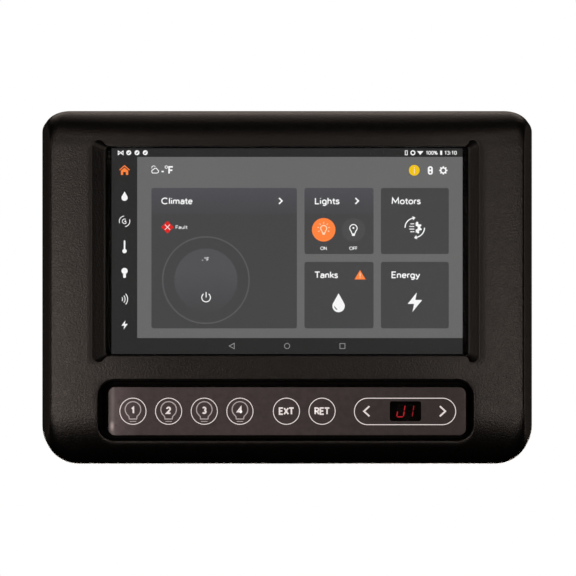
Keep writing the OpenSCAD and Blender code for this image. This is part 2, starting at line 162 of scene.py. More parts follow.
def lit(name, rgb, vary=0.02, vary_scale=25, fade=None):
    """Light from the screen: a near-black surface that emits one colour, a little uneven as a backlight is.

    fade is (bottom z in mm, top z in mm, colour at the top); the colour given first is the one at the bottom."""
    mat = surface(name, (0.002, 0.002, 0.002), 0.4, grain=2000, bump=0.02, vary=0.1)

    def shades(rgb):
        colour = [max(0, c - GLASS_GLARE) * GLASS_GAIN for c in srgb(*rgb)]
        return mixed(mat, noise(mat, place(mat), vary_scale), [c * (1 - vary) for c in colour],
                     [c * (1 + vary) for c in colour])

    glow = shades(rgb)
    if fade:
        low, high, top = fade
        height = add(mat, "SeparateXYZ", {"Vector": place(mat)}).outputs["Z"]
        glow = mixed(mat, spread(mat, height, 0, 1, low * MM, high * MM), glow, shades(top))
    return finish_shader(mat, {"Specular IOR Level": 0.05, "Emission Color": glow, "Emission Strength": 1.0})


def glass(name, colour, rough=0.02):
    mat = surface(name, colour, rough, grain=60, bump=0.01, depth=0.02, vary=0.02, rough_vary=0.01)
    return finish_shader(mat, {"Transmission Weight": 1.0, "IOR": 1.45})


def film_material():
    """The printed film: warm grey, with a painted highlight that makes it paler and more neutral near its left end,
    painted light that falls off towards its right end, and a painted glint low in that corner.
    """
    mat = surface("key_film", (0.02, 0.02, 0.02), 0.42, grain=1500, bump=0.06, depth=0.05, rough_vary=0.05)
    across = add(mat, "SeparateXYZ", {"Vector": place(mat)}).outputs["X"]
    # The ramp paints light along the film: pale at the left end, darker towards the right.
    ramp = add(mat, "ValToRGB", {"Fac": spread(mat, across, 0, 1, STRIP_LOW[0] * MM, STRIP_HIGH[0] * MM)})
    for share, _ in FILM_TONES_AND_PAINTED_LIGHT[1:-1]:
        ramp.color_ramp.elements.new(share)
    for element, (share, tone) in zip(ramp.color_ramp.elements, FILM_TONES_AND_PAINTED_LIGHT):
        element.position = share
        tint = (1.01, 0.94, 1.03) if share < FILM_PAINTED_HIGHLIGHT_END else (1.04, 0.90, 1.02)
        element.color = (*[tone * t for t in tint], 1)
    mottle = spread(mat, noise(mat, place(mat), 420, 3), 0.88, 1.12)
    # The painted glint: the film is lighter inside an oval round the glint's centre.
    (x, z), (rx, rz) = GLINT_CENTRE, GLINT_SIZE
    ellipse = add(mat, "Mapping", {"Vector": place(mat), "Scale": (1 / (rx * MM), 0, 1 / (rz * MM)),
                                   "Location": (-x / rx, 0, -z / rz)})
    far = add(mat, "VectorMath", {0: ellipse.outputs["Vector"]}, operation="LENGTH").outputs["Value"]
    painted_glint = spread(mat, far, GLINT_GAIN, 1.0, 0, 1, interpolation_type="SMOOTHSTEP")
    both = add(mat, "Math", {0: mottle, 1: painted_glint}, operation="MULTIPLY").outputs["Value"]
    return finish_shader(mat, {"Specular IOR Level": 0.3,
                               "Base Color": mixed(mat, 1, ramp.outputs["Color"], both, blend_type="MULTIPLY")})


def legend(name, tone, glow):
    """White print that lets a little of the strip's back light through."""
    mat = surface(name, srgb(*tone), 0.5, grain=2500, bump=0.05, depth=0.02, vary=0.03)
    return finish_shader(mat, {"Emission Color": mat.node_tree.nodes["Mix"].outputs["Result"],
                               "Emission Strength": glow})


BEZEL = surface("bezel_abs", (0.0014, 0.0013, 0.0012), 0.38, grain=1200, bump=1.0, depth=0.13, vary=0.12,
                vary_scale=300, rough_vary=0.03, detail=2)
# Painted shade: a darker, duller finish for the recess round the key strip, which lies in shadow.
RECESS_PAINTED_SHADE = surface("bezel_recess_painted_shade", (0.0008, 0.0008, 0.0008), 0.75, grain=1100, bump=0.3, depth=0.12, specular=0.12)
FILM = film_material()
INK = legend("white_ink", (232, 228, 228), 0.58)
INK_PALE = legend("pale_ink", (184, 178, 179), 0.42)

# Material slot, colour, roughness, grain and bump, then pairs for what differs from the defaults of surface().
PAINTS = (
    ("gasket_foam", (0.006, 0.006, 0.006), 0.9, 2500, 0.5, ("depth", 0.2)),
    ("tape", (0.006, 0.006, 0.006), 0.8, 1500, 0.3),
    ("lcd_glass", (0.006, 0.006, 0.007), 0.15, 400, 0.02),
    ("diffuser", (0.8, 0.8, 0.77), 0.6, 1500, 0.1),
    ("reflector", (0.85, 0.85, 0.85), 0.4, 1200, 0.1),
    ("led_strip", (0.75, 0.68, 0.42), 0.45, 900, 0.2),
    ("flex_film", (0.42, 0.16, 0.03), 0.3, 900, 0.1, ("stretch", (1, 0.05, 0.05))),
    ("chassis_abs", (0.017, 0.017, 0.019), 0.5, 900, 0.25, ("depth", 0.15)),
    ("circuit_board", (0.012, 0.10, 0.035), 0.35, 700, 0.3, ("vary", 0.35), ("vary_scale", 260), ("coat", 0.3)),
    ("chip_epoxy", (0.012, 0.012, 0.013), 0.55, 2200, 0.3),
    ("inductor_ferrite", (0.03, 0.03, 0.033), 0.6, 1500, 0.4),
    ("ivory_nylon", (0.72, 0.70, 0.62), 0.45, 900, 0.12, ("vary", 0.04)),
    ("buzzer_black", (0.012, 0.012, 0.012), 0.4, 1200, 0.15),
    ("ribbon_white", (0.7, 0.69, 0.63), 0.4, 1500, 0.3, ("stretch", (1, 0.02, 0.02))),
    ("carrier_abs", (0.004, 0.0036, 0.0036), 0.6, 1200, 0.2),
    ("window_tint", (0.0012, 0.0006, 0.0006), 0.2, 300, 0.02, ("specular", 0.12)),
    ("module_black", (0.004, 0.003, 0.003), 0.6, 1500, 0.2),
    ("switch_black", (0.014, 0.014, 0.015), 0.45, 1200, 0.15),
    ("plunger_white", (0.72, 0.72, 0.70), 0.4, 900, 0.08),
)
METALS = (
    ("stamped_steel", (0.56, 0.57, 0.58), 0.32, 500, 0.15, ("stretch", (0.08, 1, 1)), ("vary", 0.08)),
    ("screw_steel", (0.50, 0.51, 0.52), 0.3, 1800, 0.15, ("vary", 0.1)),
    ("shield_tin", (0.62, 0.63, 0.64), 0.3, 500, 0.12, ("stretch", (1, 1, 0.1))),
    ("heat_sink_aluminium", (0.55, 0.56, 0.58), 0.35, 700, 0.15, ("stretch", (1, 1, 0.06))),
    ("capacitor_can", (0.5, 0.52, 0.55), 0.3, 900, 0.1),
    ("cell_steel", (0.66, 0.66, 0.67), 0.22, 600, 0.08, ("stretch", (0.1, 1, 1))),
    ("pin_brass", (0.72, 0.52, 0.22), 0.25, 1500, 0.1),
    ("dome_steel", (0.66, 0.67, 0.68), 0.2, 900, 0.06),
)
PAINT = {row[0]: surface(*row[:5], metal=metal, **dict(row[5:]))
         for metal, rows in ((0, PAINTS), (1, METALS)) for row in rows}
PAINT["guide_acrylic"] = glass("guide_acrylic", (0.85, 0.92, 0.93), 0.08)
PAINT["key_film"] = FILM
for part in frame["record"]["subparts"]:
    slots = NODES[part["node"]].data.materials
    slots.clear()
    slots.append(PAINT.get(part["material_slot"], PAINT["chassis_abs"]))


# ---- mesh helpers

def make(name, points, faces, material, body="housing", sharp=32):
    """A mesh object from points in mm, smooth up to the sharp angle, riding on a body."""
    mesh = bpy.data.meshes.new(name)
    mesh.from_pydata([(x * MM, y * MM, z * MM) for x, y, z in points], [], faces)
    work = bmesh.new()
    work.from_mesh(mesh)
    bmesh.ops.delete(work, geom=[v for v in work.verts if not v.link_faces], context="VERTS")
    bmesh.ops.recalc_face_normals(work, faces=work.faces)
    work.to_mesh(mesh)
    work.free()
    mesh.materials.append(material)
    mesh.shade_smooth()
    mesh.set_sharp_from_angle(angle=math.radians(sharp))
    piece = bpy.data.objects.new(name, mesh)
    SCENE.collection.objects.link(piece)
    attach(piece, body)
    return piece


def on_circle(cx, cz, rx, rz, degrees):
    a = math.radians(degrees)
    return cx + rx * math.cos(a), cz + rz * math.sin(a)


def arc(cx, cz, rx, rz, start, end, steps):
    return [on_circle(cx, cz, rx, rz, start + (end - start) * i / steps) for i in range(steps + 1)]


def line(a, b, steps):
    """Points strictly between a and b."""
    return [(a[0] + (b[0] - a[0]) * i / steps, a[1] + (b[1] - a[1]) * i / steps) for i in range(1, steps)]


def round_rect(cx, cz, width, height, radius, corner=8, long=24, short=12, low_radius=None, radius_z=None):
    """Counter-clockwise loop seen from the front, starting at the right side's lower end."""
    low = radius if low_radius is None else low_radius
    rz = radius if radius_z is None else radius_z
    corners = [arc(cx + sx * (width / 2 - r), cz + sz * (height / 2 - q), r, q, start, start + 90, corner)
               for sx, sz, r, q, start in ((1, 1, radius, rz, 0), (-1, 1, radius, rz, 90), (-1, -1, low, low, 180),
                                           (1, -1, low, low, 270))]
    outline = []
    for i, points in enumerate(corners):
        outline += line(corners[i - 1][-1], points[0], long if i % 2 else short) + points
    return outline


class Build:
    """Points and faces of one mesh; loops of points are joined by quads."""

    def __init__(self):
        self.points = []
        self.faces = []

    def loop(self, points):
        start = len(self.points)
        self.points += points
        return list(range(start, start + len(points)))

    def level(self, outline, y):
        """A loop from points in x and z, at one y or at a y worked out from them."""
        return self.loop([(x, y(x, z) if callable(y) else y, z) for x, z in outline])

    def join(self, a, b, closed=True):
        for i in range(len(a) if closed else len(a) - 1):
            j = (i + 1) % len(a)
            self.faces.append((a[i], a[j], b[j], b[i]))


# ---- bezel

TOP_ROLL, LOW_ROLL = 16.6, 25.0           # how far the rolled edges reach down and up the face
TOP_FLAT, LOW_FLAT = 6.0, 4.0             # straight part of those edges, next to the wall
DRAFT = 5.0
PILLOW_FROM, PILLOW_DROP = 50.0, 2.4      # the face's slow fall towards its sides
ROLL_FROM, ROLL_DROP = 92.5, 0.3          # and its quicker one at their edges
EDGE_R = 1.1
CORNER_WALL = (13.3, 8.9, 16.8)           # outline's corners: radius across, upper height, lower radius
CORNER_FACE = (2.4, 2.4, 4.0)
LIP, LOW_LIP = 1.0, 1.9                   # rounded lip of the recess, and its extra width along the bottom
LIP_ANGLES = (15, 30, 45, 60, 75, 90)
RECESS = (-0.6, -53.7, 163.4, 26.4, 7.0)  # middle x and z, width, height, corner radius
RECESS_FLOOR = -13.0
RECESS_WALL = 1.8
COLLAR_Y = -18.0
SKIN = 2.5
BASE_DEPTH = 12.0                         # below this depth the bezel's sides are plain rings
RING_STEPS = (14, 70, 46)                 # points per corner, long side and short side
RECESS_STEPS = (8, 60, 10)

# Half sizes of the window: of the opening, its scoops and ears, and the collar behind. The face's own points
# stay out of OPENING_KEEP and SCOOP_KEEP.
OPENING, OPENING_R = (79.1, 45.45), 1.6
SCOOP, EAR, EAR_R, SCOOP_SHIFT = 5.5, 3.0, 3.2, 0.65
OPENING_KEEP, SCOOP_KEEP, COLLAR = (79.6, 45.45), (84.7, 48.45), (87.2, 49.45)

# The window's wall, step by step from the face to the collar's back. OUT is the share of the way out from the
# opening and DEEP the depth in quarters of the wall's, for the straight edges and for the scoops.
STRAIGHT_OUT = (0.62, 0.29, 0.08, 0, 0, 0, 0, 0, 0, 0)
STRAIGHT_DEEP = (0.04, 0.16, 0.34, 0.6, 1.2, 2, 2.7, 3.0, 3.3, 4)
SCOOP_OUT = (0.97, 0.92, 0.85, 0.72, 0.43, 0.155, 0.125, 0.095, 0.06, 0)
SCOOP_DEEP = (0.06, 0.26, 0.6, 1.17, 2.33, 3.44, 3.56, 3.6, 3.75, 4)


def face_depth(z, inset=0.0):
    """How far the front surface stands off the wall at height z, away from the drafted sides."""
    full = DEPTH - inset
    if z > HALF_H - TOP_ROLL:
        t = min(1, (z - HALF_H + TOP_ROLL) / (TOP_ROLL - inset))
        return TOP_FLAT + (full - TOP_FLAT) * math.sqrt(1 - t * t)
    if z < LOW_ROLL - HALF_H:
        t = min(1, (LOW_ROLL - HALF_H - z) / (LOW_ROLL - inset))
        return LOW_FLAT + (full - LOW_FLAT) * math.sqrt(1 - t * t)
    return full


def on_face(x, z):
    return -face_depth(z)


def roll(depth, flat, full, reach, inset):
    """Distance from the middle of the face to the rolled edge at a depth."""
    t = max(0, min(1, (depth - flat) / (full - flat)))
    return (reach - inset) * math.sqrt(1 - t * t)


def ring(depth, inset=0.0):
    """The bezel's outline at a distance off the wall."""
    full = DEPTH - inset
    half = HALF_W - inset - DRAFT * depth / DEPTH
    edge = full - EDGE_R
    if depth > edge:
        half -= EDGE_R - math.sqrt(max(0, EDGE_R ** 2 - (depth - edge) ** 2))
    top = HALF_H - TOP_ROLL + roll(depth, TOP_FLAT, full, TOP_ROLL, inset)
    low = HALF_H - LOW_ROLL + roll(depth, LOW_FLAT, full, LOW_ROLL, inset)
    blend = (depth / full) ** 1.5
    rx, rz, rl = [(wall - inset) * (1 - blend) + face * blend for wall, face in zip(CORNER_WALL, CORNER_FACE)]
    outline = round_rect(0, (top - low) / 2, 2 * half, top + low, rx, *RING_STEPS, rl, rz)
    return [(x, -depth, z) for x, z in outline]


def pillow(points):
    """The face falls back a little towards its left and right edges."""
    out = []
    for x, y, z in points:
        t = max(0, abs(x) - PILLOW_FROM) / (HALF_W - DRAFT - PILLOW_FROM)
        u = max(0, abs(x) - ROLL_FROM) / (HALF_W - DRAFT - ROLL_FROM)
        drop = PILLOW_DROP * t * t + ROLL_DROP * u * u
        out.append((x, y * (1 - drop / DEPTH * min(1, (y / DEPTH) ** 2)), z))
    return out


def window_loops():
    """The screen window: where its wall meets the face and the collar's back, and how much each point is scoop."""
    wx, wz = OPENING
    r = OPENING_R
    points, side_steps, top_steps = [], 22, 34       # a quarter's points: face, back, scoop share
    for i in range(side_steps):
        t = i / side_steps
        points.append(((wx + SCOOP, (wz + EAR - 2.6) * t), (wx, (wz - r) * t), 1))
    ear = (arc(wx + SCOOP - EAR_R, wz + EAR - EAR_R, EAR_R, EAR_R, 0, 90, 7)
           + [(wx + 0.9, wz + EAR - 0.35), (wx + 0.2, wz + 1.6), (wx - 0.3, wz + 0.95)])
    corner = arc(wx - r, wz - r, r, r, 0, 90, len(ear))[:-1]
    for i, (face, back) in enumerate(zip(ear, corner)):
        points.append((face, back, 1 if i < len(ear) - 2 else 0.5))
    for i in range(top_steps + 1):
        x = (wx - r) * (1 - i / top_steps)
        points.append(((x, wz + 0.6), (x, wz), 0))
    for sx, sz, end in ((-1, 1, None), (1, -1, 0)):  # mirrored in x to half the window, then in z to all of it
        points += [((fx * sx, fz * sz), (bx * sx, bz * sz), kind) for (fx, fz), (bx, bz), kind in points[-2:end:-1]]
    face = [(x - SCOOP_SHIFT * kind, z + SCREEN_Z) for (x, z), _, kind in points]
    return face, [(x, z + SCREEN_Z) for _, (x, z), _ in points], [kind for _, _, kind in points]


def inside(points, loops):
    """Which of the points lie inside the first loop and outside the others."""
    px, pz = points[:, 0], points[:, 1]
    hit = np.zeros(len(points), bool)
    for loop in loops:
        for (ax, az), (bx, bz) in zip(loop, np.roll(loop, -1, axis=0)):
            with np.errstate(divide="ignore", invalid="ignore"):
                hit ^= ((az > pz) != (bz > pz)) & (px < (bx - ax) * (pz - az) / (bz - az) + ax)
    return hit


def patch(build, outer, holes, free):
    """Triangles between an outer loop and its holes, using the free points too. All are indices into build.points."""
    loops, edges, start = [outer, *holes], [], 0
    used = [i for loop in loops for i in loop] + free
    flat = [(build.points[i][0], build.points[i][2]) for i in used]
    sides = []
    for loop in loops:
        n = len(loop)
        edges += [(start + i, start + (i + 1) % n) for i in range(n)]
        sides.append(np.array(flat[start:start + n]))
        start += n
    points, _, faces, origins, *_ = delaunay_2d_cdt([Vector(p) for p in flat], edges, [], 0, 1e-6, True)
    first = [used[o[0]] if o else None for o in origins]
    triangles = [f for f in faces if all(first[i] is not None for i in f)]
    middle = np.array([[sum(points[i][k] for i in f) / len(f) for k in (0, 1)] for f in triangles])
    build.faces += [tuple(first[i] for i in f) for f, keep in zip(triangles, inside(middle, sides)) if keep]


def smooth(t):
    t = max(0, min(1, t))
    return t * t * (3 - 2 * t)


def near_rect(x, z, cx, cz, half, margin):
    return abs(x - cx) < half[0] + margin and abs(z - cz) < half[1] + margin


def drafted_sides(build, base, base_depth):
    """Grids from the base ring up to the face on the left and right.

    Returns the outer loop of the face between them, and the columns of points that it still has."""
    (corner, long, short), past = RING_STEPS, 5
    count = len(base)
    left = short + corner + long - 1
    spans = [range(-1 - past, short + past), range(left + corner - past, left + corner + short + past + 1)]
    rises = list(np.linspace(base_depth, DEPTH - EDGE_R, 8)[1:])
    rises += [DEPTH - EDGE_R * (1 - math.sin(math.radians(a))) for a in (12, 24, 36, 48, 60, 75, 90)]
    rings = [ring(d) for d in rises]
    outline, taken = [], set()
    at = spans[0][-1] + 1
    for span in (spans[1], spans[0]):
        outline += [base[i % count] for i in range(at, span[0] if span is spans[1] else span[0] + count)]
        rows = [[base[i % count] for i in span]]
        rows += [build.loop([outer[i % count] for i in span]) for outer in rings]
        for a, b in zip(rows, rows[1:]):
            build.join(a, b, closed=False)
        outline += [row[0] for row in rows] + rows[-1][1:-1] + [row[-1] for row in rows[::-1]]
        taken |= {i % count for i in span}
        at = span[-1] + 1
    return outline, [i for i in range(count) if i not in taken]


def joined(build, previous, loops):
    """Join each loop of points to the one before it. Returns the last."""
    for points in loops:
        current = build.loop(points)
        build.join(previous, current)
        previous = current
    return previous


def face_points(outer_depth, columns):
    """Free points of the face: along the rolled edges, on the flat, and below and beside the recess."""
    cx, cz, w, h, _ = RECESS
    depths = [TOP_FLAT + (DEPTH - TOP_FLAT) * math.sin(math.radians(a)) for a in range(24, 89, 2)]
    free = []
    for d in [d for d in depths if d > outer_depth + 0.4] + [DEPTH - 0.05, DEPTH - 0.01]:
        around = ring(d)
        free += [around[i] for i in columns]
    free += [(x, -DEPTH, z) for x in np.arange(-100, 100.1, 2.5) for z in np.arange(-51.5, 61, 3.5)]
    free += [(x, on_face(x, z), z) for x in np.arange(-96, 96.1, 3) for z in np.arange(-73.5, -53, 1.1)]
    return [(x, y, z) for x, y, z in free if not (
        near_rect(x, z, cx, cz - LOW_LIP / 2, (w / 2, h / 2 + LOW_LIP / 2), LIP + 0.7)
        or near_rect(x, z, 0, SCREEN_Z, OPENING_KEEP, 1.4)
        or near_rect(x, z, 0, SCREEN_Z, SCOOP_KEEP, 0.7) and abs(x) > 78)]


def window_wall(build, window, face, back, kinds):
    """The window's wall from the face to the collar's back, then the collar up to the inner skin."""
    loops = []
    for steps in zip(STRAIGHT_OUT, STRAIGHT_DEEP, SCOOP_OUT, SCOOP_DEEP):
        loop = []
        for (fx, fz), (bx, bz), kind in zip(face, back, kinds):
            out, deep = [steps[i] * (1 - kind) + steps[i + 2] * kind for i in (0, 1)]
            start = on_face(fx, fz)
            loop.append((bx + (fx - bx) * out, start + (COLLAR_Y - start) * (deep / 4), bz + (fz - bz) * out))
        loops.append(loop)
    loops.append([(x * COLLAR[0] / OPENING_KEEP[0], COLLAR_Y, (z - SCREEN_Z) * COLLAR[1] / OPENING_KEEP[1] + SCREEN_Z)
                  for x, z in back])
    loops.append([(x, -(DEPTH - SKIN) if z < HALF_H - TOP_ROLL else -face_depth(z, SKIN), z) for x, _, z in loops[-1]])
    return joined(build, window, loops)


def bezel_shell():
    build = Build()
    depths = [0, 2, 4, 5, TOP_FLAT]
    depths += [TOP_FLAT + (DEPTH - TOP_FLAT) * math.sin(math.radians(a)) for a in range(3, 61, 3)]
    outer = [d for d in depths if d < BASE_DEPTH]
    wall = build.loop(ring(outer[0]))
    base = joined(build, wall, [ring(d) for d in outer[1:]])
    face, back, kinds = window_loops()
    window = build.level(face, on_face)
    cx, cz, w, h, r = RECESS
    lip = []
    for angle in (0, *LIP_ANGLES):
        g = LIP * (1 - math.sin(math.radians(angle)))
        outline = round_rect(cx, cz, w + 2 * g, h + 2 * g, r + g, *RECESS_STEPS)
        lip.append([(x, z - g / LIP * LOW_LIP * smooth((cz - h / 2 + 7 - z) / 7)) for x, z in outline])
    recess = build.level(lip[0], on_face)
    boundary, columns = drafted_sides(build, base, outer[-1])
    patch(build, boundary, [window, recess], build.loop(face_points(outer[-1], columns)))
    collar_in = window_wall(build, window, face, back, kinds)

    # Recess: lip, wall, floor, the hole for the strip, and the box's outer wall. From the lip's last band on, these
    # carry a darker, duller material: painted shade.
    drops = [LIP * (1 - math.cos(math.radians(angle))) for angle in LIP_ANGLES]
    lip_end = joined(build, recess, [[(x, -face_depth(z) + drop, z) for x, z in outline]
                                     for drop, outline in zip(drops, lip[1:])])
    shade_from = len(build.faces) - len(lip[0])
    strip = round_rect(0, STRIP_Z, STRIP_HIGH[0] * 2 + 1, STRIP_HIGH[2] - STRIP_LOW[2] + 1, 3.5, *RECESS_STEPS)
    outside = round_rect(cx, cz, w + 2 * RECESS_WALL, h + 2 * RECESS_WALL, r + RECESS_WALL, *RECESS_STEPS)
    floor_in = round_rect(cx, cz, w - 1.6, h - 1.6, r - 0.8, *RECESS_STEPS)
    flat = [(lip[-1], RECESS_FLOOR - 0.8), (floor_in, RECESS_FLOOR), (strip, RECESS_FLOOR),
            (strip, RECESS_FLOOR + 1.5), (outside, RECESS_FLOOR + 1.5)]
    box_wall = joined(build, lip_end, [[(x, y, z) for x, z in outline] for outline, y in flat]
                      + [[(x, -face_depth(z, SKIN), z) for x, z in outside]])
    shade_to = len(build.faces)

    # Inner skin.
    inner = joined(build, wall, [ring(d, SKIN) for d in (0, 2, 4, 6, 8, 10, 11.5)])
    free = [(x, y, z) for d in (13, 14.5, 16, 17, 18, 18.8, 19.3) for x, y, z in ring(d, SKIN)
            if not near_rect(x, z, cx, cz, (w / 2 + RECESS_WALL, h / 2 + RECESS_WALL), 0.8)
            and not near_rect(x, z, 0, SCREEN_Z, COLLAR, 0.8)]
    patch(build, inner, [collar_in, box_wall], build.loop(free))
    build.points = pillow(build.points)
    shell = make("bezel_shell", build.points, build.faces, BEZEL, sharp=38)
    shell.data.materials.append(RECESS_PAINTED_SHADE)
    # The recess's faces take the painted-shade material.
    for polygon in shell.data.polygons[shade_from:shade_to]:
        polygon.material_index = 1
    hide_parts("front_bezel")


bezel_shell()


# ---- flat printed shapes

def unit(a, b):
    """The distance from a to b and its direction."""
    length = math.hypot(b[0] - a[0], b[1] - a[1]) or 1
    return length, (b[0] - a[0]) / length, (b[1] - a[1]) / length


class Print:
    """Flat shapes in the x-z plane, each a closed thin plate between two values of y."""

    def __init__(self, front, thick=0.012):
        self.front, self.back = front, front + thick
        self.build = Build()
        self.count = 0

    def fill(self, loop):
        area = sum(a[0] * b[1] - b[0] * a[1] for a, b in zip(loop, loop[1:] + loop[:1]))
        if area < 0:
            loop = loop[::-1]
        front, back = self.build.level(loop, self.front), self.build.level(loop, self.back)
        self.build.faces.append(tuple(front))
        self.build.faces.append(tuple(back[::-1]))
        self.build.join(back, front)

    def disc(self, cx, cz, r, steps=48):
        self.fill(arc(cx, cz, r, r, 0, 360 - 360 / steps, steps - 1))

    def rect(self, x0, z0, x1, z1, r=0.0):
        if r:
            self.fill(round_rect((x0 + x1) / 2, (z0 + z1) / 2, abs(x1 - x0), abs(z1 - z0), r, 5, 1, 1))
        else:
            self.fill([(x0, z0), (x1, z0), (x1, z1), (x0, z1)])

    def band(self, outer, inner):
        sides = ((outer, self.front), (inner, self.front), (inner, self.back), (outer, self.back))
        loops = [self.build.level(loop, y) for loop, y in sides]
        for a, b in zip(loops, loops[1:] + loops[:1]):
            self.build.join(a, b)

    def circle(self, cx, cz, r, width, steps=72):
        ends = [arc(cx, cz, q, q, 0, 360 - 360 / steps, steps - 1) for q in (r + width / 2, r - width / 2)]
        self.band(*ends)

    def stroke(self, path, width, closed=False):
        """A line of that width along the path, with mitred bends."""
        n = len(path)
        left, right = [], []
        for i, (x, z) in enumerate(path):
            before = path[i - 1] if i or closed else None
            after = path[(i + 1) % n] if i < n - 1 or closed else None
            dirs = [unit(a, b)[1:] for a, b in ((before, (x, z)), ((x, z), after)) if a is not None and b is not None]
            _, ux, uz = unit((0, 0), (sum(d[0] for d in dirs), sum(d[1] for d in dirs)))
            nx, nz = -uz, ux
            cosine = max(0.35, nx * -dirs[0][1] + nz * dirs[0][0])
            reach = width / 2 / cosine
            left.append((x + nx * reach, z + nz * reach))
            right.append((x - nx * reach, z - nz * reach))
        if closed:
            self.band(left, right)
            return
        self.count += 1
        front = self.front - 0.0004 * (self.count % 4)      # crossing strokes don't share a plane
        sides = ((left, front), (right, front), (right, self.back), (left, self.back))
        loops = [self.build.level(side, y) for side, y in sides]
        for a, b in zip(loops, loops[1:] + loops[:1]):
            self.build.join(a, b, closed=False)
        self.build.faces.append(tuple(loop[0] for loop in loops))
        self.build.faces.append(tuple(loop[-1] for loop in loops[::-1]))

    def text(self, words, x, z, cap, weight=0.15, align="CENTER", width=None):
        """Words of a given capital height, centred in height on z, in strokes of weight x cap; width is in mm."""
        total = sum(GLYPHS[c][0] for c in words)
        across = width / (total * cap) if width else 1.0
        start = x - (total * cap * across / 2 if align == "CENTER" else 0)
        for c in words:
            advance, strokes = GLYPHS[c]
            for path in strokes:
                ring_path = len(path) > 3 and path[0] == path[-1]
                points = [(start + px * cap * across, z - cap / 2 + cap * (weight / 2 + pz * (1 - weight)))
                          for px, pz in path]
                self.stroke(points[:-1] if ring_path else points, weight * cap, ring_path)
            start += advance * cap * across

    def done(self, name, material, body="housing", slot=None):
        return make(name, self.build.points, self.build.faces, material, body, sharp=20)


def bow(cx, cz, rx, rz, start, end, steps=12):
    """Part of an ellipse; a whole one comes back to its exact first point."""
    path = arc(cx, cz, rx, rz, start, end, steps)
    return path[:-1] + [path[0]] if abs(end - start) == 360 else path


def arch(x, r=0.2):
    """The stroke that leaves a stem, goes over and comes down, as in h, m and n."""
    return [(x - r, 0.42)] + bow(x, 0.44, r, 0.22, 150, 0, 8) + [(x + r, 0)]


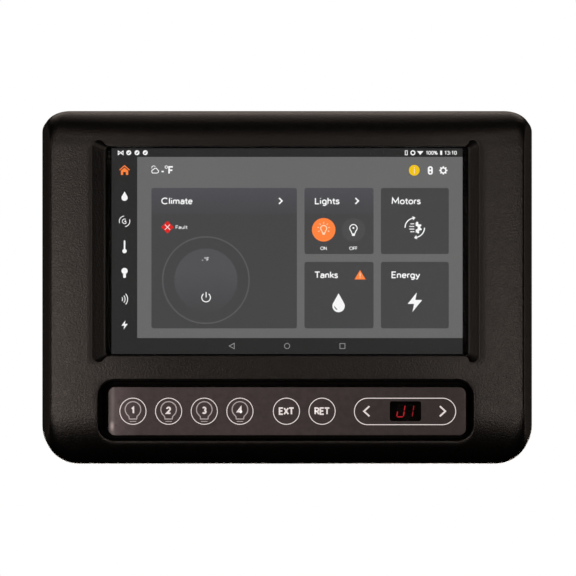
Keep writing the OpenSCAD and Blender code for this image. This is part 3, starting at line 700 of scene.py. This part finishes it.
# Letters as strokes: the advance, then the centre lines, with the capital height as 1.
GLYPHS = {
    "C": (0.98, [bow(0.5, 0.5, 0.44, 0.5, 48, 312, 18)]),
    "E": (0.68, [[(0.58, 1), (0.1, 1), (0.1, 0), (0.58, 0)], [(0.1, 0.52), (0.52, 0.52)]]),
    "F": (0.62, [[(0.56, 1), (0.1, 1), (0.1, 0)], [(0.1, 0.5), (0.5, 0.5)]]),
    "L": (0.62, [[(0.1, 1), (0.1, 0), (0.55, 0)]]),
    "M": (1.08, [[(0.1, 0), (0.16, 1), (0.52, 0.25), (0.88, 1), (0.94, 0)]]),
    "N": (0.88, [[(0.1, 0), (0.1, 1), (0.74, 0), (0.74, 1)]]),
    "O": (1.06, [bow(0.52, 0.5, 0.45, 0.5, 0, 360, 28)]),
    "R": (0.72, [[(0.1, 0), (0.1, 1)] + bow(0.32, 0.74, 0.26, 0.26, 90, -90, 10) + [(0.1, 0.48)],
                 [(0.34, 0.48), (0.62, 0)]]),
    "T": (0.72, [[(0.02, 1), (0.68, 1)], [(0.35, 1), (0.35, 0)]]),
    "X": (0.76, [[(0.08, 1), (0.66, 0)], [(0.66, 1), (0.08, 0)]]),
    "a": (0.64, [bow(0.3, 0.2, 0.21, 0.2, 0, 360, 16),
                 [(0.51, 0), (0.51, 0.44)] + bow(0.3, 0.44, 0.21, 0.22, 0, 150, 8)]),
    "e": (0.66, [bow(0.32, 0.33, 0.24, 0.33, 0, 318, 16), [(0.1, 0.34), (0.54, 0.34)]]),
    "g": (0.68, [bow(0.31, 0.33, 0.23, 0.33, 0, 360, 18),
                 [(0.54, 0.66), (0.54, -0.08)] + bow(0.32, -0.08, 0.22, 0.2, 0, -140, 8)]),
    "h": (0.64, [[(0.1, 0), (0.1, 1.04)], arch(0.3)]),
    "i": (0.28, [[(0.12, 0), (0.12, 0.66)], [(0.12, 0.88), (0.12, 1.0)]]),
    "k": (0.58, [[(0.1, 0), (0.1, 1.04)], [(0.48, 0.66), (0.12, 0.28)], [(0.22, 0.38), (0.52, 0)]]),
    "l": (0.28, [[(0.12, 0), (0.12, 1.04)]]),
    "m": (1.02, [[(0.1, 0), (0.1, 0.66)], arch(0.29, 0.19), arch(0.67, 0.19)]),
    "n": (0.64, [[(0.1, 0), (0.1, 0.66)], arch(0.3)]),
    "o": (0.68, [bow(0.33, 0.33, 0.25, 0.33, 0, 360, 18)]),
    "r": (0.42, [[(0.1, 0), (0.1, 0.66)], [(0.1, 0.38)] + bow(0.32, 0.42, 0.21, 0.24, 150, 80, 5)]),
    "s": (0.52, [[(0.42, 0.55), (0.35, 0.64), (0.22, 0.66), (0.11, 0.6), (0.09, 0.48), (0.17, 0.39), (0.33, 0.31),
                  (0.43, 0.21), (0.41, 0.07), (0.28, 0), (0.14, 0.02), (0.06, 0.11)]]),
    "t": (0.42, [[(0.18, 0.92), (0.18, 0.16), (0.24, 0.03), (0.38, 0)], [(0.02, 0.64), (0.37, 0.64)]]),
    "u": (0.64, [[(0.1, 0.66)] + bow(0.3, 0.22, 0.2, 0.22, 180, 330, 8), [(0.5, 0.66), (0.5, 0)]]),
    "y": (0.58, [[(0.05, 0.66), (0.29, 0.04)], [(0.54, 0.66), (0.24, -0.2), (0.08, -0.24)]]),
    "0": (0.68, [bow(0.33, 0.5, 0.24, 0.5, 0, 360, 18)]),
    "1": (0.56, [[(0.12, 0.76), (0.34, 0.98), (0.34, 0)]]),
    "2": (0.66, [bow(0.32, 0.72, 0.22, 0.28, 175, -30, 10) + [(0.09, 0), (0.58, 0)]]),
    "3": (0.64, [bow(0.3, 0.745, 0.2, 0.255, 150, -85, 10), bow(0.3, 0.25, 0.23, 0.25, 85, -150, 10)]),
    "4": (0.72, [[(0.47, 0), (0.47, 1), (0.05, 0.28), (0.66, 0.28)]]),
    "%": (0.92, [bow(0.2, 0.76, 0.14, 0.22, 0, 360, 12), bow(0.66, 0.24, 0.14, 0.22, 0, 360, 12),
                 [(0.64, 1), (0.22, 0)]]),
    ":": (0.28, [[(0.12, 0.08), (0.12, 0.22)], [(0.12, 0.56), (0.12, 0.7)]]),
    "-": (0.42, [[(0.06, 0.36), (0.36, 0.36)]]),
}


# ---- key strip

DENTS, DENT_DEPTH = ((-73.3, -50.4), (-74.7, -60.4)), 0.26
FILM_THICK, FILM_CORNER = 0.5, 3
FILM_EDGE = ((0.0, 0.25), (0.05, 0.1), (0.15, 0.025), (0.3, 0.0))      # inset and drop of the rounded edge
MID_X = (WINDOW_LOW[0] + WINDOW_HIGH[0]) / 2
PRINT_Y = FILM_Y - 0.02


def film_sag(x, z):
    """The film's left end curls back a little, its right end less, and it has two small dents."""
    left = max(0, -x - 71.0) / 7.2
    right = max(0, x - 74.0) / 4.2
    dents = sum(DENT_DEPTH * math.exp(-((x - dx) ** 2 + (z - dz) ** 2) / 0.22) for dx, dz in DENTS)
    return 0.40 * left * left + 0.10 * right * right + dents


def key_film():
    """The printed film over the strip, with holes for the key discs and the digit window."""
    build = Build()
    width, height = STRIP_HIGH[0] - STRIP_LOW[0], STRIP_HIGH[2] - STRIP_LOW[2]
    loops = []
    for inset, drop in FILM_EDGE:
        outline = round_rect(0, STRIP_Z, width - 2 * inset, height - 2 * inset, FILM_CORNER - inset, *RECESS_STEPS)
        loops.append(build.level(outline, lambda x, z: FILM_Y + drop + film_sag(x, z)))
    for a, b in zip(loops, loops[1:]):
        build.join(a, b)
    outline = round_rect(0, STRIP_Z, width, height, FILM_CORNER, *RECESS_STEPS)
    back = build.level(outline, FILM_Y + FILM_THICK)
    build.join(loops[0], back)
    holes = []
    for key in KEYS:
        low, high = KEY_BOX[key]
        radius = (high[0] - low[0]) / 2 - 1 + 0.02
        holes.append(arc(KEY_X[key], STRIP_Z, radius, radius, 0, 355, 71))
    opening = (WINDOW_HIGH[0] - WINDOW_LOW[0] + 0.1, WINDOW_HIGH[2] - WINDOW_LOW[2] + 0.1)
    holes.append(round_rect(MID_X, STRIP_Z, *opening, 1, 5, 8, 6))
    holes_front, holes_back = [], []
    for hole in holes:
        holes_front.append(build.level(hole, FILM_Y))
        holes_back.append(build.level(hole, FILM_Y + FILM_THICK))
        build.join(holes_front[-1], holes_back[-1])
    spots = [(x, z) for x in np.arange(-77.2, 77.5, 1.1)
             for z in np.arange(STRIP_Z - height / 2 + 0.9, STRIP_Z + height / 2 - 0.8, 1.1)]
    for dx, dz in DENTS:
        spots.append((dx, dz))
        for r in (0.2, 0.4, 0.6, 0.85):
            spots += [(dx + r * math.cos(a), dz + r * math.sin(a)) for a in np.linspace(0, 2 * math.pi, 9)[:8]]

    def is_free(x, z):
        near_key = any(math.hypot(x - KEY_X[key], z - STRIP_Z) < (7.0 if i < 6 else 6.0) for i, key in enumerate(KEYS))
        in_corner = abs(x) > width / 2 - 0.9 and abs(z - STRIP_Z) > height / 2 - FILM_CORNER
        return not (near_key or in_corner or near_rect(x, z, MID_X, STRIP_Z, (6.8, 4.3), 0.5))

    free = [(x, z) for x, z in spots if is_free(x, z)]
    patch(build, loops[-1], holes_front, build.level(free, lambda x, z: FILM_Y + film_sag(x, z)))
    patch(build, back, holes_back, [])
    film = make("key_film_sheet", build.points, build.faces, FILM, sharp=40)
    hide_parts("key_overlay")


def key_prints():
    """A ring on the six larger keys, a numbered bulb on the lamp keys, EXT and RET, and an arrow on the last two."""
    for index, key in enumerate(KEYS):
        ink = Print(PRINT_Y)
        x, z = KEY_X[key], STRIP_Z
        if index < 6:
            ink.circle(x, z, 5.72, 0.34)
        if index < 4:
            lamp = Print(PRINT_Y)
            bulb = arc(x, z + 0.78, 3.4, 3.4, -42, 222, 32)
            bulb += [(x - 1.75, z - 2.3), (x - 1.6, z - 3.4), (x + 1.6, z - 3.4), (x + 1.75, z - 2.3)]
            lamp.stroke(bulb, 0.46, closed=True)
            lamp.rect(x - 1.4, z - 4.62, x + 1.4, z - 4.3)
            lamp.done("print_lamp_%d" % (index + 1), INK_PALE, key + "_body", slot="key_film")
            ink.text(str(index + 1), x, z + 0.4, 3.25, weight=0.22)
        elif index < 6:
            ink.text("EXT" if index == 4 else "RET", x, z + 0.05, 3.35, weight=0.2, width=6.65)
        else:
            tip, back = (x - 1.85, 2.4) if index == 6 else (x + 1.1, -2.4)
            ink.stroke([(tip + back, z + 2.2), (tip, z), (tip + back, z - 2.2)], 0.7)
        ink.done("print_" + key, INK, key + "_body", slot="key_film")
    ink = Print(PRINT_Y)
    ink.band(*[round_rect(MID_X - 0.2, STRIP_Z - 0.1, 44.6 - g, 11.9 - g, 5.95 - g / 2 - 0.001, 20, 20, 2)
               for g in (0, 0.7)])
    ink.done("print_capsule", INK, slot="key_film")


key_film()
key_prints()


# ---- digit readout

def segment(a, b, width, gap):
    """A bar with pointed ends from a to b, short of both by the gap."""
    length, ux, uz = unit(a, b)
    h, end = width / 2, length - gap
    corners = [(gap, 0), (gap + h, -h), (end - h, -h), (end, 0), (end - h, h), (gap + h, h)]
    return [(a[0] + ux * p - uz * q, a[1] + uz * p + ux * q) for p, q in corners]


def digits():
    """The readout's two characters, each of seven leaning bars, lit or dark."""
    w, h, bar, gap, lean = 2.9, 2.55, 0.46, 0.14, 0.15
    ends = {name: ((x0 * w / 2, z0 * h), (x1 * w / 2, z1 * h)) for name, x0, z0, x1, z1 in (
        ("a", -1, 1, 1, 1), ("g", -1, 0, 1, 0), ("d", -1, -1, 1, -1), ("f", -1, 0, -1, 1), ("b", 1, 0, 1, 1),
        ("e", -1, -1, -1, 0), ("c", 1, -1, 1, 0))}
    front, thick = WINDOW_LOW[1] - 0.02, 0.015
    dark = Print(front, thick)
    for piece, glow, rgb, offset, on in (("readout_letter", "segment_glow", (168, 34, 40), -2.0, "bcde"),
                                         ("readout_number", "segment_glow_dim", (126, 28, 34), 1.85, "bc")):
        bright = Print(front, thick)
        for name, (a, b) in ends.items():
            (bright if name in on else dark).fill([(MID_X + offset + x + lean * z, STRIP_Z + 0.1 + z)
                                                   for x, z in segment(a, b, bar, gap)])
        shown = bright.done(piece, lit(glow, rgb, vary=0.5, vary_scale=900), slot="segment_red")
        if piece == "readout_letter":
            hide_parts("digit_segments")
    shade = surface("segment_dark", (0.0014, 0.0008, 0.0008), 0.35, grain=1500, bump=0.05, specular=0.08)
    dark.done("readout_dark", shade, slot="window_tint")


digits()


# ---- the screen's picture

PIC_W, PIC_H = 153.4, 89.9
PIC_LEFT, PIC_TOP = -PIC_W / 2, SCREEN_Z + PIC_H / 2
PIC_Y = LCD_LOW[1]
LAYER, LAYER_THICK = 0.012, 0.008
BACK, BAR, TILE, HEAD = (105, 105, 105), (47, 47, 47), (72, 72, 73), (81, 81, 86)
WHITE, ORANGE = (245, 245, 245), (255, 133, 66)

# Places in the picture: across from its left edge, and down from its top.
STATUS_FOOT, NAV_TOP, SIDE_W = 3.75, 82.9, 11.2
WIDE, MID, RIGHT = (17.4, 81.0), (84.3, 114.5), (117.7, 147.4)
UPPER, LOWER, TALL = (17.3, 46.2), (49.6, 78.7), (17.3, 78.7)
HEAD_FOOT = 28.6
SIDE_U, STATUS_V, NAV_V = 5.65, 1.9, 86.4
TICKS = (7.5, 11.1, 14.7)
DIAL = (41.2, 57.6)
LAMP_ON, LAMP_OFF, LAMP_V = 92.7, 105.7, 35.6
MOTORS_V, GEAR_U = 34.7, 132.9


class Canvas(Print):
    """The picture's own layer: u runs right and v down from its top left corner."""

    def __init__(self, level):
        super().__init__(PIC_Y - LAYER * (level + 1), LAYER_THICK)

    @staticmethod
    def at(u, v):
        return PIC_LEFT + u, PIC_TOP - v

    @staticmethod
    def bend(u, v, r, start, end, points):
        return [on_circle(u, v, r, -r, a) for a in np.linspace(start, end, points)]

    def box(self, u0, v0, u1, v1, r=0.0):
        (x0, z1), (x1, z0) = self.at(u0, v0), self.at(u1, v1)
        self.rect(x0, z0, x1, z1, r)

    def path(self, points, width, closed=False):
        self.stroke([self.at(u, v) for u, v in points], width, closed)

    def poly(self, points):
        self.fill([self.at(u, v) for u, v in points])

    def dot(self, u, v, r, steps=40):
        self.disc(*self.at(u, v), r, steps)

    def ring(self, u, v, r, width):
        self.circle(*self.at(u, v), r, width)

    def words(self, text, u, v, cap, weight=0.15, align="LEFT", width=None):
        self.text(text, *self.at(u, v), cap, weight, align, width)

    def drop(self, u, v, w, h):
        self.poly([(u, v - h / 2)] + self.bend(u, v + h / 2 - w / 2, w / 2, 28, -208, 25))

    def bolt(self, u, v, w, h):
        shape = [(0.12, -0.5), (-0.42, 0.08), (-0.04, 0.08), (-0.14, 0.5), (0.44, -0.12), (0.04, -0.12)]
        self.poly([(u + a * w, v + b * h) for a, b in shape])

    def arc_line(self, u, v, r, start, end, width, points=24):
        self.path(self.bend(u, v, r, start, end, points), width)

    def rays(self, u, v, r0, r1, angles, width):
        for a in angles:
            self.path([on_circle(u, v, r, -r, a) for r in (r0, r1)], width)

    def lamp(self, u, v, r, width):
        foot = [(u - r * 0.36, v + r * 1.55), (u + r * 0.36, v + r * 1.55)]
        self.path(self.bend(u, v, r, -48, 228, 22) + foot, width, closed=True)
        self.box(u - r * 0.4, v + r * 1.5, u + r * 0.4, v + r * 2.1)


def layer(level, name, tone, rgb, shapes, fade=None):
    """One piece of the picture, glowing in one colour. Each shape is a method of Canvas and what it is given."""
    canvas = Canvas(level)
    for shape, *given in shapes:
        shape(canvas, *given)
    canvas.done(name, lit("light_" + tone, rgb, fade=fade), slot="lcd_glass")


def panels():
    """The picture's background, bars, tiles, dial and the disc of the lamp that is off."""
    layer(0, "screen_back", "back", BACK, [(Canvas.box, 0, 0, PIC_W, PIC_H)])
    layer(1, "screen_bars", "bars", BAR, [
        (Canvas.box, 0, 0, PIC_W, STATUS_FOOT), (Canvas.box, 0, STATUS_FOOT, SIDE_W, NAV_TOP),
        (Canvas.box, 0, NAV_TOP, PIC_W, PIC_H)])
    layer(1, "screen_tiles", "tiles", TILE, [(Canvas.box, u0, v0, u1, v1, 1.0) for (u0, u1), (v0, v1) in (
        (WIDE, TALL), (MID, UPPER), (RIGHT, UPPER), (MID, LOWER), (RIGHT, LOWER))])
    layer(2, "screen_heads", "heads", (74, 74, 76),
          [(Canvas.box, u0, UPPER[0], u1, HEAD_FOOT, 0.95) for u0, u1 in (WIDE, MID)],
          (PIC_TOP - HEAD_FOOT, PIC_TOP - UPPER[0], HEAD))
    layer(3, "dial_ring", "dial_ring", (92, 92, 93), [(Canvas.ring, *DIAL, 18.9, 0.55)])
    layer(3, "dial_face", "dial", (73, 73, 74), [(Canvas.dot, *DIAL, 13.8, 72)],
          (PIC_TOP - 72, PIC_TOP - 54, (84, 84, 87)))
    layer(3, "lamp_off_disc", "off_disc", (79, 79, 80), [(Canvas.dot, LAMP_OFF, LAMP_V, 5.1)])


def coloured_marks():
    """The lit lamp, the house, the two warning signs and the fault diamond."""
    layer(4, "screen_orange", "orange", ORANGE, [
        (Canvas.dot, LAMP_ON, LAMP_V, 5.15),
        (Canvas.path, [(3.45, 9.5), (5.65, 7.6), (7.85, 9.5)], 0.42),
        (Canvas.poly, [(4.05, 9.75), (5.65, 8.45), (7.25, 9.75), (7.25, 11.6), (6.25, 11.6), (6.25, 10.35),
                       (5.05, 10.35), (5.05, 11.6), (4.05, 11.6)]),
        (Canvas.poly, [(108.6, 53.2), (111.05, 57.3), (106.15, 57.3)])])
    layer(5, "screen_marks", "marks", (255, 222, 190), [
        (Canvas.box, 108.42, 54.5, 108.78, 56.0), (Canvas.box, 108.42, 56.3, 108.78, 56.7),
        (Canvas.box, 132.1, 9.0, 132.5, 11.0), (Canvas.box, 132.1, 8.2, 132.5, 8.6),
        (Canvas.lamp, LAMP_ON, 35.0, 1.3, 0.4), (Canvas.rays, LAMP_ON, 35.0, 2.05, 2.8, range(-30, 211, 40), 0.3)])
    layer(4, "screen_yellow", "yellow", (240, 195, 30), [(Canvas.dot, 132.3, 9.6, 2.35)])
    layer(4, "screen_red", "red", (222, 44, 40), [
        (Canvas.poly, [(24.4, 31.7), (27.15, 34.45), (24.4, 37.2), (21.65, 34.45)])])


def titles_and_header(w):
    for text, u, v, width in (("Climate", 21.75, 23.0, 13.75), ("Lights", 88.75, 23.0, 10.95),
                              ("Motors", 122.3, 23.0, 12.85), ("Tanks", 88.75, 55.3, 10.25),
                              ("Energy", 122.25, 55.3, 12.55)):
        w.words(text, u, v, 3.0, 0.165, width=width)
    for u in (73.9, 107.3):                 # a chevron on the tiles that open
        w.path([(u - 0.75, 21.7), (u + 0.6, 23.0), (u - 0.75, 24.3)], 0.62)
    # A cloud, the outside temperature, a remote and a gear.
    w.path([(17.9, 10.8), (17.5, 10.2), (17.7, 9.5), (18.3, 9.3), (18.8, 8.7), (19.6, 8.7), (20.1, 9.4), (20.6, 9.9),
            (20.4, 10.5), (19.9, 10.8)], 0.34, closed=True)
    w.arc_line(18.4, 8.5, 0.85, 30, 200, 0.28, 8)
    w.words("-", 21.6, 9.75, 3.4, 0.18)
    w.ring(23.9, 8.2, 0.55, 0.3)
    w.words("F", 24.75, 9.55, 3.6, 0.19)
    w.box(138.2, 7.8, 140.4, 11.5, 1.0)
    w.ring(145.0, 9.65, 1.12, 0.62)
    w.rays(145.0, 9.65, 1.3, 1.85, range(0, -360, -45), 0.55)


def status_bar(w):
    w.path([(2.9, 1.15), (5.0, 2.75), (5.0, 1.15), (2.9, 2.75)], 0.36, closed=True)
    for u in TICKS:
        w.dot(u, STATUS_V, 1.08, 24)
    w.path([(128.35, 1.05), (129.25, 1.05), (129.25, 2.85), (128.35, 2.85)], 0.3, closed=True)
    w.ring(131.7, 1.95, 0.85, 0.5)
    w.poly([(133.5, 1.2), (136.3, 1.2), (134.9, 2.9)])
    w.words("100%", 139.95, 1.95, 1.75, 0.17, "CENTER", 5.3)
    w.box(143.6, 1.0, 144.5, 2.9)
    w.words("13:10", 148.2, 1.95, 1.75, 0.17, "CENTER", 5.6)


def side_bar(w):
    """Water, fan, temperature, lamp, signal and power."""
    u = SIDE_U
    w.drop(u, 20.9, 2.7, 4.1)
    for start in (95, 275):
        w.arc_line(u, 31.9, 2.3, start, start + 105, 0.32, 14)
    w.arc_line(u, 31.9, 1.0, 60, 330, 0.32, 16)
    w.dot(6.0, 31.9, 0.4, 14)
    w.box(5.3, 40.2, 6.0, 45.2, 0.34)
    w.dot(u, 44.9, 0.95)
    w.dot(u, 53.6, 1.35)
    w.box(5.05, 54.8, 6.25, 56.6, 0.3)
    for r in (1.2, 2.3, 3.4):
        w.arc_line(3.6, 65.9, r, -42, 42, 0.36, 12)
    w.bolt(u, 77.2, 3.2, 4.0)


def climate_and_lamps(w):
    """The dial's power sign and temperature, the fault mark and the two lamp switches."""
    w.arc_line(41.3, 65.2, 1.9, 125, 415, 0.42, 30)
    w.path([(41.3, 62.8), (41.3, 65.2)], 0.42)
    w.words("-", 39.4, 48.7, 1.6, 0.15)
    w.ring(40.9, 47.9, 0.25, 0.15)
    w.words("F", 41.5, 48.5, 1.75, 0.16)
    w.words("Fault", 27.9, 34.45, 1.6, 0.14, width=5.3)
    w.path([(23.3, 33.35), (25.5, 35.55)], 0.28)
    w.path([(25.5, 33.35), (23.3, 35.55)], 0.28)
    w.lamp(LAMP_OFF, 34.9, 1.6, 0.42)
    w.dot(LAMP_OFF, 34.8, 0.42, 12)
    w.words("ON", LAMP_ON, 43.7, 1.5, 0.16, "CENTER", 2.9)
    w.words("OFF", LAMP_OFF, 43.7, 1.5, 0.16, "CENTER", 3.6)


def motors_tanks_energy(w):
    """Two chasing arrows round half a gear and four bars, then a drop and a bolt."""
    for start in (180, 0):
        w.arc_line(132.5, MOTORS_V, 4.25, start, start - 78, 0.5)
        tip = on_circle(132.5, MOTORS_V, 4.25, -4.25, start - 78)
        c, s = on_circle(0, 0, 1, 1, start - 78)
        w.poly([(tip[0] + s * 1.25, tip[1] + c * 1.25), (tip[0] + c * 0.95, tip[1] - s * 0.95),
                (tip[0] - c * 0.95, tip[1] + s * 0.95)])
    half_gear = [(GEAR_U, 32.3)]
    for i in range(17):
        r = 2.75 if i % 4 in (1, 2) else 2.1
        half_gear.append(on_circle(GEAR_U, MOTORS_V, r, -r, 90 - 180 * i / 16))
    half_gear += [(GEAR_U, 37.1), (GEAR_U, 35.5), (133.6, 35.3), (133.9, MOTORS_V), (133.6, 34.1), (GEAR_U, 33.9)]
    w.poly(half_gear)
    for i, v in enumerate((33.0, 34.15, 35.3, 36.45)):
        w.box(130.1 + (0.5 if i in (0, 3) else 0), v - 0.2, 132.3, v + 0.2)
    w.drop(99.2, 67.5, 5.4, 8.3)
    w.bolt(132.5, 67.3, 7.4, 8.6)


def dark_and_nav_marks():
    """Ticks, the remote's buttons and the drop's shine, all dark on white, then the three grey navigation signs."""
    layer(9, "screen_notes", "notes", TILE, [
        *[(Canvas.path, [(u - 0.5, STATUS_V), (u - 0.1, 2.3), (u + 0.5, 1.45)], 0.32) for u in TICKS],
        (Canvas.dot, 139.3, 8.9, 0.4, 14), (Canvas.dot, 139.3, 10.4, 0.4, 14),
        (Canvas.arc_line, 99.2, 68.8, 1.75, 190, 250, 0.4, 10)])
    layer(2, "screen_nav", "nav", (150, 150, 150), [
        (Canvas.path, [(53.6, 85.2), (53.6, 87.6), (51.4, NAV_V)], 0.28, True), (Canvas.ring, 76.7, NAV_V, 1.15, 0.28),
        (Canvas.path, [(99.8, 85.35), (102.0, 85.35), (102.0, 87.5), (99.8, 87.5)], 0.28, True)])


panels()
coloured_marks()
white = Canvas(7)
for draw in (titles_and_header, status_bar, side_bar, climate_and_lamps, motors_tanks_energy):
    draw(white)
white.done("screen_white", lit("light_white", WHITE), slot="lcd_glass")
dark_and_nav_marks()

# The black border printed behind the glass.
border = Print(GLASS_HIGH[1] + 0.02, 0.02)
border.band(*[round_rect(0, SCREEN_Z, w, h, r, 4, 8, 6) for w, h, r in ((159.0, 96.0, 1.4), (PIC_W, PIC_H, 0.3))])
border_ink = surface("border_ink", (0.0008, 0.0008, 0.0008), 0.5, grain=1500, bump=0.02, specular=0.1)
border.done("glass_border", border_ink, slot="screen_glass")
NODES["cover_glass"].data.materials.clear()
NODES["cover_glass"].data.materials.append(glass("cover_glass_clear", (1, 1, 1)))


# ---- stage, camera and lights

LIGHT_COLOUR = (1.0, 0.835, 0.735)
WARM = 1.18                     # makes up for what the warm colour takes from the lights' power
FLOOR_SIZE, FLOOR_Z = 3.6, -0.36

# The floor is hidden from the gloss, so that the bezel reflects only the lights.
floor_mesh = bpy.data.meshes.new("floor")
half = FLOOR_SIZE / 2
floor_mesh.from_pydata([(-half, -half, 0), (half, -half, 0), (half, half, 0), (-half, half, 0)], [], [(0, 1, 2, 3)])
floor_paint = surface("floor_paint", (0.5, 0.5, 0.5), 0.6, grain=40, bump=0.02, vary=0.01)
finish_shader(floor_paint, {"Emission Color": (0.72, 0.72, 0.72), "Emission Strength": 1.0})
floor_mesh.materials.append(floor_paint)
floor = bpy.data.objects.new("floor", floor_mesh)
floor.location = (0, 0, FLOOR_Z)
SCENE.collection.objects.link(floor)
floor.visible_glossy = False
floor.visible_diffuse = False

world = bpy.data.worlds.new("studio")
SCENE.world = world
world.use_nodes = True
background = world.node_tree.nodes["Background"].inputs
background["Color"].default_value = (1, 1, 1, 1)
background["Strength"].default_value = 1.0
world.cycles_visibility.diffuse = False
world.cycles_visibility.glossy = False
world.cycles_visibility.transmission = False
SCENE.view_settings.view_transform = "Standard"

camera_data = bpy.data.cameras.new("camera")
camera_data.lens = 169.2
camera = bpy.data.objects.new("camera", camera_data)
camera.location = (0.0004, -1.2, -0.0002)
camera.rotation_euler = (math.radians(90), 0, 0)
SCENE.collection.objects.link(camera)
SCENE.camera = camera


def softbox(name, azimuth, elevation, distance, width, height, power):
    """A soft area light aimed at the panel's middle. Azimuth 0 is in front, positive to the right."""
    data = bpy.data.lights.new(name, "AREA")
    data.shape = "RECTANGLE"
    data.size, data.size_y = width, height
    data.energy = power
    data.color = LIGHT_COLOUR
    lamp = bpy.data.objects.new(name, data)
    a, e = math.radians(azimuth), math.radians(elevation)
    lamp.location = Vector((math.sin(a) * math.cos(e), -math.cos(a) * math.cos(e), math.sin(e))) * distance
    lamp.rotation_mode = "QUATERNION"
    lamp.rotation_quaternion = (-lamp.location).to_track_quat("-Z", "Y")
    lamp.visible_camera = False
    SCENE.collection.objects.link(lamp)


# Small softboxes close in on both sides of the camera, and long ones above, beside and behind the panel.
for number, (azimuth, elevation, power) in enumerate((
        (-28, -13, 0.47), (-28, 0, 0.367), (-20, 30, 0.213), (20, 0, 0.25), (20, 30, 0.222), (20, -13, 0.04),
        (28, -13, 0.30))):
    softbox("front_%d" % (number + 1), azimuth, elevation, 0.7, 0.14, 0.18, power * WARM)
for name, *place_and_size, power in (
        ("top", 0, 105, 1.2, 1.4, 0.3, 0.836), ("top_high", 0, 120, 1.2, 1.4, 0.3, 0.248),
        ("top_back", 0, 135, 1.2, 1.4, 0.3, 2.06),
        ("side_left", -110, 0, 1.0, 0.3, 0.6, 0.25), ("side_right", 110, 0, 1.0, 0.3, 0.6, 0.45),
        ("behind_left", -140, 0, 1.0, 0.3, 0.6, 0.02), ("behind_right", 140, 0, 1.0, 0.3, 0.6, 0.028),
        ("low_left", -62, 0, 0.9, 0.14, 0.3, 0.17)):
    softbox(name, *place_and_size, power * WARM)
softbox("rear_left", -170, -8, 1.0, 0.3, 0.5, 3.0)
softbox("rear_right", 170, -8, 1.0, 0.3, 0.5, 4.0)
